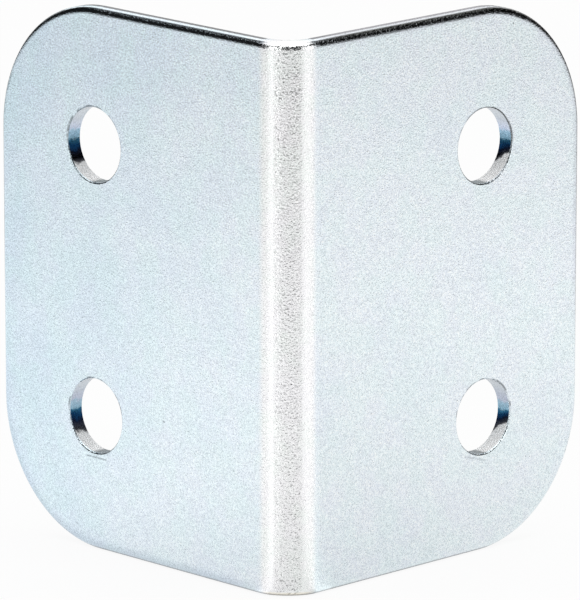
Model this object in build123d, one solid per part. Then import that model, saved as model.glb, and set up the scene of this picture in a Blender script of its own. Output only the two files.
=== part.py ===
from build123d import *
import os

# Angle bracket: one strip of steel sheet, blanked, pierced and folded once.
# The legs run along +X and +Y from the fold, which stands upright along Z.
# Their outer faces look towards -Y and -X. The bracket stands on its lower
# edges, and the origin is below the middle of its bounding box.
# All sizes are in millimetres.

# Sheet and fold
THICKNESS = 1.2
BEND_INNER_RADIUS = 2.0

# Outline of each leg, measured on its outer face
HEIGHT = 40.0
LEG_LENGTH = 29.7
CORNER_RADIUS = 10.0

# Screw holes, two in each leg, at equal distances from mid height
HOLE_DIAMETER = 5.5
HOLE_FROM_END = 9.9
HOLE_SPACING = 20.0

# Rounding that blanking and piercing leave on the outer side of a cut edge
EDGE_ROLL_OVER = 0.5
HOLE_ROLL_OVER = 0.12

# Rounding that tumbling leaves on the inner side of the outline
INNER_EDGE_RADIUS = 0.1

# Draw-in of the stretched outer side at both ends of the fold
DRAW_IN_DEPTH = 0.08
DRAW_IN_WIDTH = 1.1

BEND_OUTER_RADIUS = BEND_INNER_RADIUS + THICKNESS
MID_HEIGHT = Plane.XY.offset(HEIGHT / 2)
BISECTOR = Plane(origin=(0, 0, 0), x_dir=(1, 1, 0), z_dir=(-1, 1, 0))
LEG_X_FACE = Plane(origin=(0, 0, 0), x_dir=(1, 0, 0), z_dir=(0, -1, 0))


def folded_strip():
    """The folded strip, with the line where its outer faces meet on the Z axis."""
    outline = Polyline(
        (0, 0),
        (LEG_LENGTH, 0),
        (LEG_LENGTH, THICKNESS),
        (THICKNESS, THICKNESS),
        (THICKNESS, LEG_LENGTH),
        (0, LEG_LENGTH),
        close=True,
    )
    section = make_face(outline)
    outer_corner = section.vertices().sort_by_distance((0, 0, 0))[0]
    section = fillet(outer_corner, BEND_OUTER_RADIUS)
    inner_corner = section.vertices().sort_by_distance((THICKNESS, THICKNESS, 0))[0]
    section = fillet(inner_corner, BEND_INNER_RADIUS)
    return extrude(section, amount=HEIGHT)


def round_corners(bracket):
    """Rounds the two free corners of each leg."""
    leg_x_corners = bracket.edges().filter_by(Axis.Y).group_by(Axis.X)[-1]
    leg_y_corners = bracket.edges().filter_by(Axis.X).group_by(Axis.Y)[-1]
    return fillet(leg_x_corners + leg_y_corners, CORNER_RADIUS)


def draw_in_cutter():
    """What the draw-in takes off the top end of the fold.

    Its lower face is a shallow arc that leaves the end face smoothly, runs
    outwards across the fold, and is DRAW_IN_DEPTH down at the outer skin.
    """
    across_fold = Plane(
        origin=(BEND_OUTER_RADIUS, BEND_OUTER_RADIUS, 0),
        x_dir=(-1, -1, 0),
        z_dir=(-1, 1, 0),
    )
    start = Vector(BEND_OUTER_RADIUS - DRAW_IN_WIDTH, HEIGHT)
    skin = Vector(BEND_OUTER_RADIUS, HEIGHT - DRAW_IN_DEPTH)
    fall = TangentArc(start, skin, tangent=(1, 0))
    run_out = Line(skin, skin + (fall % 1) * THICKNESS)
    above = Vector((run_out @ 1).X, HEIGHT + THICKNESS)
    closing = Polyline(run_out @ 1, above, (start.X, above.Y), start)
    profile = make_face([fall, run_out, closing])
    return extrude(across_fold * profile, amount=2 * BEND_OUTER_RADIUS, both=True)


def draw_in_fold_ends(bracket):
    """Cuts the draw-in at the top and the bottom of the fold."""
    cutter = draw_in_cutter()
    return bracket - cutter - mirror(cutter, about=MID_HEIGHT)


def leg_faces(bracket, rank):
    """The flat faces of the two legs, with rank 0 for the outer side and 1 for the inner."""
    leg_x = bracket.faces().filter_by(Axis.Y).sort_by(Axis.Y)[rank]
    leg_y = bracket.faces().filter_by(Axis.X).sort_by(Axis.X)[rank]
    return leg_x, leg_y


def fold_face(bracket, radius):
    """The face of the fold that has this radius."""
    rounded = bracket.faces().filter_by(GeomType.CYLINDER)
    upright = rounded.filter_by(lambda face: abs(face.axis_of_rotation.direction.Z) > 0.9)
    return upright.sort_by(lambda face: abs(face.radius - radius))[0]


def round_rim(bracket, rank, fold_radius, rounding):
    """Rounds the outline of one side of the sheet, all the way round."""
    leg_x, leg_y = leg_faces(bracket, rank)
    fold = fold_face(bracket, fold_radius)
    fold_lines = fold.edges().filter_by(Axis.Z)
    rim = leg_x.edges() + leg_y.edges() + fold.edges() - fold_lines
    return fillet(rim, rounding)


def hole_punches():
    """The four punches that pierce the legs from their outer faces."""
    along = LEG_LENGTH - HOLE_FROM_END
    heights = [(HEIGHT + side * HOLE_SPACING) / 2 for side in (-1, 1)]
    disc = Circle(HOLE_DIAMETER / 2)
    discs = Sketch() + [Pos(along, height) * disc for height in heights]
    punches = extrude(LEG_X_FACE * discs, amount=2 * THICKNESS, both=True)
    return punches + mirror(punches, about=BISECTOR)


def roll_hole_rims(bracket):
    """Rolls over the outer rim of each hole."""
    leg_x, leg_y = leg_faces(bracket, 0)
    rims = (leg_x.edges() + leg_y.edges()).filter_by(lambda edge: edge.is_closed)
    return fillet(rims, HOLE_ROLL_OVER)


def angle_bracket():
    """The finished bracket in its own frame."""
    bracket = draw_in_fold_ends(round_corners(folded_strip()))
    bracket = round_rim(bracket, 0, BEND_OUTER_RADIUS, EDGE_ROLL_OVER)
    bracket = round_rim(bracket, 1, BEND_INNER_RADIUS, INNER_EDGE_RADIUS)
    bracket = bracket - hole_punches()
    bracket = roll_hole_rims(bracket)
    return Pos(-LEG_LENGTH / 2, -LEG_LENGTH / 2, 0) * bracket


os.makedirs("parts", exist_ok=True)
export_step(angle_bracket(), "parts/angle_bracket.step")
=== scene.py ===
import math

import bpy
from mathutils import Matrix, Vector

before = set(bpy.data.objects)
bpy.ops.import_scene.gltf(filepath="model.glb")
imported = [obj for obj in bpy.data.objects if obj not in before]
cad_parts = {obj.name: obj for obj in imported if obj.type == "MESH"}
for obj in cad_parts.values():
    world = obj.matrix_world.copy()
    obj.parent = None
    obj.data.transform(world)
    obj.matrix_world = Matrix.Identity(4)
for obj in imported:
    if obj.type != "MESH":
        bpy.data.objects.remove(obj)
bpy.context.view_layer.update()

MM = 0.001
WHITE = (1.0, 1.0, 1.0, 1.0)

# Sizes of the bracket that the finish follows, in millimetres
THICKNESS = 1.2
FOLD_RADIUS = 3.2
CORNER_RADIUS = 10.0
HALF_WIDTH = 14.85
HALF_HEIGHT = 20.0
HOLE_RADIUS = 2.75
HOLE_ALONG = 4.95
HOLE_SPACING = 20.0
FOLD_AXIS = FOLD_RADIUS - HALF_WIDTH

# The photograph's view, in degrees from the plane that halves the fold, and metres
HALVING_PLANE = math.radians(-45.0)
VIEW_AZIMUTH = 0.533
VIEW_ELEVATION = 13.4398
VIEW_ROLL = 0.003
VIEW_DISTANCE = 509.163 * MM
VIEW_TARGET = Vector((0.0439, 14.1857, 18.5872)) * MM
FOCAL_PIXELS = 7080.8
FRAME_HEIGHT = 600
SENSOR = 36.0

# Room that the part mirrors: a white rear, by azimuth and by the sine of the
# elevation, a ceiling, and dark walls
REAR_EDGE = math.cos(math.radians(27.0))
REAR_BLUR = 0.02
REAR_BOTTOM = (0.04, 0.10)
REAR_TOP = (0.69, 0.72)
REAR_LEVEL = 1.25
CEILING_EDGE = (0.74, 0.80)
CEILING_LEVEL = 1.8
ROOM_LEVEL = 0.01

# Light on the floor as the part mirrors it, by direction from the fold
SIDE_LEVEL = 1.07
FRONT_LEVEL = 1.02
FRONT_AZIMUTH = 8.0
FRONT_EDGE = (math.cos(math.radians(38.0)), math.cos(math.radians(24.0)))
STRIPES = ((-39.0, 12.0), (57.0, 14.0))
STRIPE_LEVEL = 1.15
FAR_FALL = (80.0, 210.0)
FAR_LEVEL = 0.80
FLOOR_COLOUR = (0.9, 0.9, 0.9, 1.0)
SHADOW_KEPT = 0.08

# Softboxes: name, azimuth, elevation, width, height, radiance
SOFTBOXES = (
    ("softbox_left", -36.0, 19.0, 0.18, 0.36, 3.0),
    ("softbox_right", 55.0, 17.0, 0.30, 0.32, 2.0),
)
SOFTBOX_DISTANCE = 0.6

# Colours of the zinc and its torn edges, and of the reflections, highlights and shade painted onto
# it
# Plating colours of the left and right legs: the bluer left and paler right are a painted
# reflection
BLUE = (0.675, 0.82, 0.91, 1.0)
PALE = (0.86, 0.94, 0.99, 1.0)
# Painted highlight on the fold
FOLD_PAINTED_HIGHLIGHT = (0.99, 0.985, 0.965, 1.0)
FILM_PINK = (1.0, 0.978, 1.0, 1.0)
FILM_GREEN = (0.98, 1.0, 0.985, 1.0)
CREAM = (0.97, 0.92, 0.80, 1.0)
FRACTURE = (0.04, 0.045, 0.055, 1.0)
# Painted dark reflection at the foot of each hole
HOLE_FOOT_DARK_REFLECTION = (0.03, 0.06, 0.07, 1.0)
# Painted shade, reflected from the floor, on the lower left rim
LOWER_LEFT_PAINTED_SHADE = (0.33, 0.41, 0.50, 1.0)
# Painted darker reflection on the right-hand rim
RIGHT_RIM_PAINTED_REFLECTION = (0.47, 0.45, 0.50, 1.0)
# Painted dark reflection, the black band on the upper roll-over
UPPER_ROLL_PAINTED_REFLECTION = (0.03, 0.035, 0.04, 1.0)
SHADE = (0.05, 0.05, 0.04, 1.0)

# Painted reflections, blue, dark and white, on the wall of a hole, by height above its axis in
# millimetres
WALL_PAINTED_REFLECTIONS = (
    (-1.70, (0.95, 0.95, 0.95)),
    (-1.45, (0.05, 0.05, 0.06)),
    (-0.85, (0.008, 0.012, 0.03)),
    (-0.35, (0.008, 0.06, 0.16)),
    (-0.02, (0.05, 0.20, 0.33)),
    (0.10, (0.30, 0.50, 0.63)),
    (0.65, (0.42, 0.60, 0.74)),
    (0.85, (0.60, 0.66, 0.80)),
    (1.90, (0.68, 0.74, 0.80)),
)

# Scratches and specks: on the right leg or not, two ends, half width, darkness.
# An end is its place along the leg and its height, in millimetres.
MARKS = (
    (False, (5.87, 6.91), (3.86, 6.91), 0.06, 0.40),
    (False, (5.97, 7.34), (3.64, 7.40), 0.18, 0.12),
    (True, (3.07, 7.35), (5.14, 6.74), 0.07, 0.22),
    (True, (7.73, 38.55), (7.80, 38.50), 0.05, 0.6),
    (False, (-2.15, 10.92), (-2.30, 10.86), 0.05, 0.45),
)
MARK_DEPTH = (0.05, 0.10)

# Scale of each noise, in waves per millimetre, with its detail and roughness
GRAIN = (11.0, 1.0, 0.6)
PEEL = (6.0, 1.0, 0.5)
BLOTCH = (1.3, 2.0, 0.6)
FILM = (0.45, 3.0, 0.6)
CLOUD = (0.16, 3.0, 0.55)
BUMP_DISTANCE = 0.02 * MM


def turned(vector):
    """A vector given across and along the halving plane, in the frame of the part."""
    return Matrix.Rotation(HALVING_PLANE, 3, "Z") @ Vector(vector)


def direction(azimuth, elevation=0.0):
    """Unit vector from the part, in degrees, with azimuth 0 towards the viewer."""
    a = math.radians(azimuth)
    e = math.radians(elevation)
    return turned((math.sin(a) * math.cos(e), -math.cos(a) * math.cos(e), math.sin(e)))


class Graph:
    """Adds linked nodes to the cleared shader tree of a material or world."""

    def __init__(self, owner):
        owner.use_nodes = True
        self.tree = owner.node_tree
        self.tree.nodes.clear()

    def feed(self, socket, value):
        if isinstance(value, bpy.types.NodeSocket):
            self.tree.links.new(value, socket)
        else:
            socket.default_value = value

    def node(self, kind, settings=None, **inputs):
        """A node, with its settings, and its inputs by name."""
        item = self.tree.nodes.new(kind)
        for key, value in (settings or {}).items():
            setattr(item, key, value)
        for key, value in inputs.items():
            self.feed(item.inputs[key.replace("_", " ")], value)
        return item

    def math(self, operation, *values, clamp=False):
        item = self.node("ShaderNodeMath", {"operation": operation, "use_clamp": clamp})
        for socket, value in zip(item.inputs, values):
            self.feed(socket, value)
        return item.outputs[0]

    def chain(self, operation, first, *others):
        for other in others:
            first = self.math(operation, first, other)
        return first

    def plus(self, *values):
        return self.chain("ADD", *values)

    def times(self, *values):
        return self.chain("MULTIPLY", *values)

    def most(self, *values):
        return self.chain("MAXIMUM", *values)

    def minus(self, value, other):
        return self.math("SUBTRACT", value, other)

    def rest(self, value):
        return self.math("SUBTRACT", 1.0, value)

    def ranged(self, kind, value, low, high, start, end):
        item = self.node(
            "ShaderNodeMapRange",
            {"interpolation_type": kind},
            Value=value,
            From_Min=low,
            From_Max=high,
            To_Min=start,
            To_Max=end,
        )
        return item.outputs["Result"]

    def linear(self, value, low, high, start=0.0, end=1.0):
        return self.ranged("LINEAR", value, low, high, start, end)

    def blend(self, value, low, high, start, end):
        """Goes smoothly from start to end while the value goes from low to high."""
        return self.ranged("SMOOTHSTEP", value, low, high, start, end)

    def rise(self, value, low, high, top=1.0):
        return self.blend(value, low, high, 0.0, top)

    def fall(self, value, low, high, top=1.0):
        return self.blend(value, low, high, top, 0.0)

    def noise(self, vector, scale, detail, roughness):
        item = self.node(
            "ShaderNodeTexNoise",
            Vector=vector,
            Scale=scale,
            Detail=detail,
            Roughness=roughness,
        )
        return item.outputs["Fac"]

    def vector(self, operation, *values, output="Vector", **inputs):
        item = self.node("ShaderNodeVectorMath", {"operation": operation}, **inputs)
        for socket, value in zip(item.inputs, values):
            self.feed(socket, value)
        return item.outputs[output]

    def dot(self, first, second):
        return self.vector("DOT_PRODUCT", first, second, output="Value")

    def length(self, value):
        return self.vector("LENGTH", value, output="Value")

    def split(self, vector):
        return self.node("ShaderNodeSeparateXYZ", Vector=vector).outputs

    def joined(self, x, y):
        return self.node("ShaderNodeCombineXYZ", X=x, Y=y).outputs[0]

    def mixed(self, factor, first, second, blend_type="MIX"):
        """Two colours mixed."""
        item = self.node("ShaderNodeMix", {"data_type": "RGBA", "blend_type": blend_type})
        for index, value in ((0, factor), (6, first), (7, second)):
            self.feed(item.inputs[index], value)
        return item.outputs[2]

    def between(self, factor, first, second):
        """Two numbers mixed."""
        item = self.node("ShaderNodeMix", {"data_type": "FLOAT"})
        for index, value in ((0, factor), (2, first), (3, second)):
            self.feed(item.inputs[index], value)
        return item.outputs[0]

    def mixed_shader(self, factor, first, second):
        item = self.node("ShaderNodeMixShader")
        for socket, value in zip(item.inputs, (factor, first, second)):
            self.feed(socket, value)
        return item.outputs[0]

    def ramp(self, value, stops):
        """Colour by value, from stops that each give a place and a colour."""
        low, high = -HOLE_RADIUS, HOLE_RADIUS
        item = self.node("ShaderNodeValToRGB", Fac=self.linear(value, low, high))
        elements = item.color_ramp.elements
        while len(elements) < len(stops):
            elements.new(0.5)
        for element, (place, colour) in zip(elements, stops):
            element.position = (place - low) / (high - low)
            element.color = (*colour, 1.0)
        return item.outputs["Color"]


class Zinc:
    """Bright zinc plating, with masks in millimetres that follow the bracket."""

    def __init__(self):
        self.material = bpy.data.materials.new("zinc_plated_steel")
        self.g = Graph(self.material)
        place = self.g.node("ShaderNodeTexCoord").outputs["Object"]
        self.mm = self.g.vector("SCALE", place, Scale=1.0 / MM)
        parts = self.g.split(self.mm)
        self.x, self.y, self.low = parts["X"], parts["Y"], parts["Z"]
        self.find_sheet()
        self.find_holes()
        self.find_outline()
        self.find_fracture()
        self.find_grain()
        self.add_shader()

    def find_sheet(self):
        """Depth below the outer skin, the facing of the surface, and the fold."""
        g = self.g
        from_axis = g.vector("SUBTRACT", self.mm, (FOLD_AXIS, FOLD_AXIS, 0.0))
        outwards = g.vector("MINIMUM", from_axis, (0.0, 0.0, 0.0))
        outwards = g.vector("MULTIPLY", outwards, (1.0, 1.0, 0.0))
        self.depth = g.minus(FOLD_RADIUS, g.length(outwards))
        normal = g.node("ShaderNodeNewGeometry").outputs["True Normal"]
        self.facing = g.math("ABSOLUTE", g.dot(normal, g.vector("NORMALIZE", outwards)))
        self.wall = g.fall(self.facing, 0.12, 0.4)
        self.smooth = g.fall(self.facing, 0.90, 0.985)
        self.rolled = g.times(self.smooth, g.rest(self.wall))

        # Highest in the middle of the fold, and nothing on the legs
        turning = g.split(outwards)
        self.bend = g.times(turning["X"], turning["Y"])
        self.stretched = g.rise(self.bend, 0.8, 3.6)
        self.middle = g.rise(self.bend, 4.0, 4.6)
        self.flank = g.math("SUBTRACT", self.stretched, self.middle, clamp=True)
        self.side = g.minus(self.x, self.y)
        self.right = g.rise(self.side, 1.0, 6.0)

    def find_holes(self):
        """Place about the nearest hole, outwards along the leg and upwards."""
        g = self.g
        self.leg_place = g.most(self.x, self.y)
        self.above = g.minus(self.low, HALF_HEIGHT)
        self.off_middle = g.math("ABSOLUTE", self.above)
        self.along = g.minus(self.leg_place, HOLE_ALONG)
        up = g.minus(self.off_middle, HOLE_SPACING / 2.0)
        self.up = g.times(up, g.math("SIGN", self.above))
        self.from_hole = g.length(g.joined(self.along, self.up))
        self.pierced = g.times(self.wall, g.fall(self.from_hole, 3.0, 3.4))

        # Height on a hole's wall, where the torn zone slants on the right leg
        slant = g.times(self.right, g.linear(self.depth, 0.0, THICKNESS, 0.9, 0.0))
        below = g.times(g.math("MINIMUM", self.up, 0.0), g.plus(1.0, slant))
        self.slanted = g.plus(below, g.most(self.up, 0.0))
        self.torn = g.times(self.pierced, g.fall(self.slanted, -1.65, -1.35))

    def find_outline(self):
        """Distance from the outline, with its round corners."""
        g = self.g
        beyond_leg = g.minus(self.leg_place, HALF_WIDTH - CORNER_RADIUS)
        beyond_height = g.minus(self.off_middle, HALF_HEIGHT - CORNER_RADIUS)
        from_centre = g.joined(g.most(beyond_leg, 0.0), g.most(beyond_height, 0.0))
        self.from_rim = g.minus(CORNER_RADIUS, g.length(from_centre))

    def find_fracture(self):
        """Torn zone on the inner half of the sheared edges, not in holes or the fold."""
        g = self.g
        self.fracture = g.times(
            self.wall,
            g.rise(self.depth, 0.64, 0.70),
            g.blend(self.depth, 1.12, 1.20, 1.0, 0.8),
            g.blend(self.bend, 0.02, 0.5, 1.0, 0.12),
            g.rise(self.from_hole, 3.0, 3.4),
        )

    def find_grain(self):
        g = self.g
        self.grain = g.noise(self.mm, *GRAIN)
        self.peel = g.noise(self.mm, *PEEL)
        self.blotch = g.noise(self.mm, *BLOTCH)
        self.film = g.noise(self.mm, *FILM)
        self.cloud = g.noise(self.mm, *CLOUD)

    def mark(self, on_right, start, end, half_width, darkness):
        """Darkness of one scratch or speck on an outer face."""
        g = self.g
        along, inwards = (self.x, self.y) if on_right else (self.y, self.x)
        run = Vector((end[0] - start[0], end[1] - start[1], 0.0))
        offset = g.vector("SUBTRACT", g.joined(along, self.low), (*start, 0.0))
        share = g.math("DIVIDE", g.dot(offset, tuple(run)), run.length_squared, clamp=True)
        nearest = g.vector("SCALE", tuple(run), Scale=share)
        away = g.length(g.vector("SUBTRACT", offset, nearest))
        line = g.fall(away, half_width * 0.5, half_width * 1.5, darkness)
        skin, under = (depth - HALF_WIDTH for depth in MARK_DEPTH)
        return g.times(line, g.fall(inwards, skin, under))

    def pits(self):
        """Darkness of the pits, the bottom line, the hole rings and the marks."""
        g = self.g
        at_bottom = g.blend(self.low, 0.9, 2.4, 0.50, 0.22)
        at_top = g.rise(self.low, 28.0, 37.0, 0.30)
        threshold = g.blend(self.low, 0.9, 2.0, 0.55, 0.60)
        fold = g.times(self.middle, g.plus(at_bottom, at_top), g.rise(self.peel, threshold, 0.70))
        scattered = g.rise(self.peel, 0.70, 0.76, 0.3)
        bottom_line = g.fall(self.low, 0.11, 0.28, 0.68)
        ring = g.times(
            g.rise(self.from_hole, 2.76, 2.79),
            g.fall(self.from_hole, 2.86, 2.92),
            g.rise(self.up, -0.6, 0.6),
            g.rise(self.blotch, 0.42, 0.58, 0.6),
        )
        marks = [self.mark(*entry) for entry in MARKS]
        return g.most(fold, scattered, bottom_line, ring, *marks)

    def tone(self):
        """Brightness: the grain, without its dark side on the flanks of the fold, where that is a
        painted highlight.
        """
        g = self.g
        grain = g.linear(self.grain, 0.2, 0.8, 0.68, 1.26)
        return g.times(g.most(grain, self.flank), g.rest(self.pits()))

    def plating(self):
        """Colour of the plating, bluer on the left and paler on the right as a painted reflection,
        with a painted darker reflection at the upper left and a painted white highlight on the
        fold.
        """
        g = self.g
        # Painted reflection: the plating bluer on the left leg and paler on the right, with random
        # cloudy tone
        across_reflection = g.math("POWER", g.most(g.linear(self.side, -31.0, 5.0), 0.0), 0.7)
        reflection_and_cloud = g.plus(across_reflection, g.blend(self.cloud, 0.35, 0.65, -0.10, 0.10))
        # Painted darker reflection at the top of the left leg
        upper_left_dark_reflection = g.times(g.fall(self.side, -6.0, 0.0), g.rise(self.low, 29.0, 39.0, 0.17))
        base = g.mixed(g.math("SUBTRACT", reflection_and_cloud, upper_left_dark_reflection, clamp=True), BLUE, PALE)
        # Painted highlight: the fold whitened
        base = g.mixed(g.rise(self.bend, 0.6, 2.4, 0.75), base, FOLD_PAINTED_HIGHLIGHT)
        film = g.mixed(g.rise(self.film, 0.35, 0.65), FILM_PINK, FILM_GREEN)
        return g.mixed(1.0, base, film, "MULTIPLY")

    def colour(self):
        """The plating, with the torn edges, a cream band at the fold's foot, and painted
        reflections and shade laid over it, one layer on the other.
        """
        g = self.g
        fold_foot = g.times(self.stretched, self.rolled, g.fall(self.low, 0.4, 0.6, 0.8))
        # Painted reflections on the far wall of each hole
        hole_wall_reflection = g.times(self.pierced, g.rise(self.along, -0.4, 0.5))
        uneven = g.plus(self.slanted, g.blend(self.blotch, 0.3, 0.7, -0.02, 0.26))
        # Painted dark reflection at the foot of each hole
        hole_foot_dark_reflection = g.times(
            self.pierced,
            g.fall(self.up, -2.56, -2.44, 0.75),
            g.fall(self.along, 0.1, 0.6),
        )
        # Painted shade, reflected from the floor, on the lower left roll-over
        lower_left_rim_shade = g.times(
            g.fall(self.side, -6.0, -1.0),
            g.fall(self.low, 2.0, 17.0, 0.42),
            g.fall(self.from_rim, 0.25, 1.0),
        )
        # Painted darker reflection along the right-hand rim
        right_rim_reflection = g.times(
            self.right,
            g.rise(self.low, 10.0, 24.0, 0.45),
            g.fall(self.from_rim, 0.2, 0.9),
        )
        # Painted dark reflection: the black band on the upper roll-over
        upper_roll_reflection = g.times(
            g.rise(self.facing, 0.32, 0.42),
            g.fall(self.facing, 0.62, 0.86),
            g.rest(self.stretched),
            g.rise(self.low, 22.0, 34.0, 0.8),
        )
        darkening = g.plus(
            g.rise(self.low, 4.0, 20.0, 0.35),
            g.rise(self.low, 26.0, 34.0, 0.35),
        )
        layers = (
            (fold_foot, CREAM),
            (self.fracture, FRACTURE),
            (hole_wall_reflection, g.ramp(uneven, WALL_PAINTED_REFLECTIONS)),
            (hole_foot_dark_reflection, HOLE_FOOT_DARK_REFLECTION),
            (lower_left_rim_shade, LOWER_LEFT_PAINTED_SHADE),
            (right_rim_reflection, RIGHT_RIM_PAINTED_REFLECTION),
            (upper_roll_reflection, UPPER_ROLL_PAINTED_REFLECTION),
            (g.times(self.rolled, self.right, darkening), SHADE),
        )
        base = self.plating()
        for mask, cover in layers:
            base = g.mixed(mask, base, cover)
        return base

    def roughness(self):
        """Matt on the faces, smoother where the sheet is rolled over, rough where torn."""
        g = self.g
        faces = g.blend(self.grain, 0.25, 0.75, 0.25, 0.21)
        polished = g.minus(faces, g.times(self.smooth, 0.12))
        return g.plus(polished, g.times(self.fracture, 0.15), g.times(self.torn, 0.4))

    def bump(self):
        """Grain, with deeper peel on the fold and on the right-hand roll-over."""
        g = self.g
        right_roll = g.times(self.rolled, self.right, 2.1)
        relief = g.plus(0.4, g.most(self.middle, right_roll))
        height = g.minus(self.grain, g.times(self.peel, relief))
        item = g.node("ShaderNodeBump", Strength=1.0, Distance=BUMP_DISTANCE, Height=height)
        return item.outputs[0]

    def add_shader(self):
        g = self.g
        shader = g.node(
            "ShaderNodeBsdfPrincipled",
            Base_Color=g.vector("SCALE", self.colour(), Scale=self.tone()),
            Roughness=self.roughness(),
            Metallic=g.rest(self.torn),
            Normal=self.bump(),
        )
        g.node("ShaderNodeOutputMaterial", Surface=shader.outputs[0])


def mirrored_floor(g):
    """Level of light that glossy surfaces see on the floor, by place."""
    place = g.node("ShaderNodeTexCoord").outputs["Object"]
    away = g.vector("SUBTRACT", place, (FOLD_AXIS * MM, FOLD_AXIS * MM, 0.0))
    heading = g.vector("NORMALIZE", away)
    distance = g.math("DIVIDE", g.length(away), MM)

    def towards(azimuth):
        return g.dot(heading, tuple(direction(azimuth)))

    front = g.rise(towards(FRONT_AZIMUTH), *FRONT_EDGE)
    level = g.between(front, SIDE_LEVEL, FRONT_LEVEL)
    right = g.rise(towards(90.0), 0.2, 0.8)
    near_left = g.blend(distance, 0.0, 40.0, 0.84, 1.0)
    near_right = g.linear(distance, 0.0, 95.0, 0.78, 1.0)
    level = g.times(level, g.between(right, near_left, near_right))

    near_stripe = g.blend(distance, 0.0, 40.0, 0.92, 1.0)
    for azimuth, half_width in STRIPES:
        outer = math.cos(math.radians(half_width + 5.0))
        inner = math.cos(math.radians(half_width - 3.0))
        stripe = g.rise(towards(azimuth), outer, inner, STRIPE_LEVEL)
        level = g.most(level, g.times(stripe, near_stripe))

    far = g.blend(distance, *FAR_FALL, 1.0, FAR_LEVEL)
    behind = g.times(g.rise(towards(180.0), 0.78, 0.92), g.blend(distance, 70.0, 130.0, 0.2, 0.96))
    return g.times(level, far, g.rest(behind))


def floor_material():
    """Matt white floor, seen as white by the camera and as lit by glossy surfaces."""
    material = bpy.data.materials.new("floor_white")
    g = Graph(material)
    path = g.node("ShaderNodeLightPath").outputs
    matt = g.node("ShaderNodeBsdfDiffuse", Color=FLOOR_COLOUR).outputs[0]
    seen = g.node("ShaderNodeEmission", Color=WHITE, Strength=1.0).outputs[0]
    level = mirrored_floor(g)
    mirrored = g.node("ShaderNodeEmission", Color=WHITE, Strength=level).outputs[0]
    to_camera = g.times(path["Is Camera Ray"], 1.0 - SHADOW_KEPT)
    surface = g.mixed_shader(to_camera, matt, seen)
    surface = g.mixed_shader(path["Is Glossy Ray"], surface, mirrored)
    g.node("ShaderNodeOutputMaterial", Surface=surface)
    return material


def add_floor():
    bpy.ops.mesh.primitive_circle_add(vertices=96, radius=3.0, fill_type="NGON")
    floor = bpy.context.object
    floor.name = "floor"
    floor.data.materials.append(floor_material())


def add_world():
    """White for the camera. Surfaces mirror a dark room with a white rear and ceiling."""
    world = bpy.data.worlds.new("studio")
    bpy.context.scene.world = world
    g = Graph(world)
    ray = g.node("ShaderNodeTexCoord").outputs["Generated"]
    height = g.split(ray)["Z"]
    level_ray = g.vector("NORMALIZE", g.vector("MULTIPLY", ray, (1.0, 1.0, 0.0)))
    rearward = g.dot(level_ray, tuple(direction(180.0)))
    rear = g.times(
        g.rise(rearward, REAR_EDGE - REAR_BLUR, REAR_EDGE + REAR_BLUR),
        g.rise(height, *REAR_BOTTOM),
        g.fall(height, *REAR_TOP),
    )
    ceiling = g.rise(height, *CEILING_EDGE)
    room = g.most(g.times(rear, REAR_LEVEL), g.times(ceiling, CEILING_LEVEL), ROOM_LEVEL)
    to_camera = g.node("ShaderNodeLightPath").outputs["Is Camera Ray"]
    level = g.between(to_camera, room, 1.0)
    sky = g.node("ShaderNodeBackground", Color=WHITE, Strength=level)
    g.node("ShaderNodeOutputWorld", Surface=sky.outputs[0])


def add_softbox(name, azimuth, elevation, width, height, radiance):
    data = bpy.data.lights.new(name, "AREA")
    data.shape = "RECTANGLE"
    data.size = width
    data.size_y = height
    data.energy = radiance * math.pi * width * height
    light = bpy.data.objects.new(name, data)
    toward = direction(azimuth, elevation)
    centre = Vector((0.0, 0.0, HALF_HEIGHT * MM))
    light.location = centre + toward * SOFTBOX_DISTANCE
    light.rotation_euler = toward.to_track_quat("Z", "Y").to_euler()
    bpy.context.scene.collection.objects.link(light)


def add_camera():
    data = bpy.data.cameras.new("camera")
    data.sensor_fit = "VERTICAL"
    data.sensor_height = SENSOR
    data.lens = FOCAL_PIXELS * SENSOR / FRAME_HEIGHT
    data.clip_start = 0.01
    data.clip_end = 50.0
    camera = bpy.data.objects.new("camera", data)
    back = direction(VIEW_AZIMUTH, VIEW_ELEVATION)
    right = Vector((0.0, 0.0, 1.0)).cross(back).normalized()
    level_turn = Matrix((right, back.cross(right), back)).transposed()
    turn = level_turn @ Matrix.Rotation(math.radians(VIEW_ROLL), 3, "Z")
    target = turned(VIEW_TARGET) - Vector((HALF_WIDTH, HALF_WIDTH, 0.0)) * MM
    camera.matrix_world = Matrix.Translation(target + back * VIEW_DISTANCE) @ turn.to_4x4()
    bpy.context.scene.collection.objects.link(camera)
    bpy.context.scene.camera = camera


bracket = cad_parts["angle_bracket"]
bracket.data.materials.clear()
bracket.data.materials.append(Zinc().material)

add_floor()
add_world()
for softbox in SOFTBOXES:
    add_softbox(*softbox)
add_camera()
bpy.context.scene.view_settings.view_transform = "Standard"
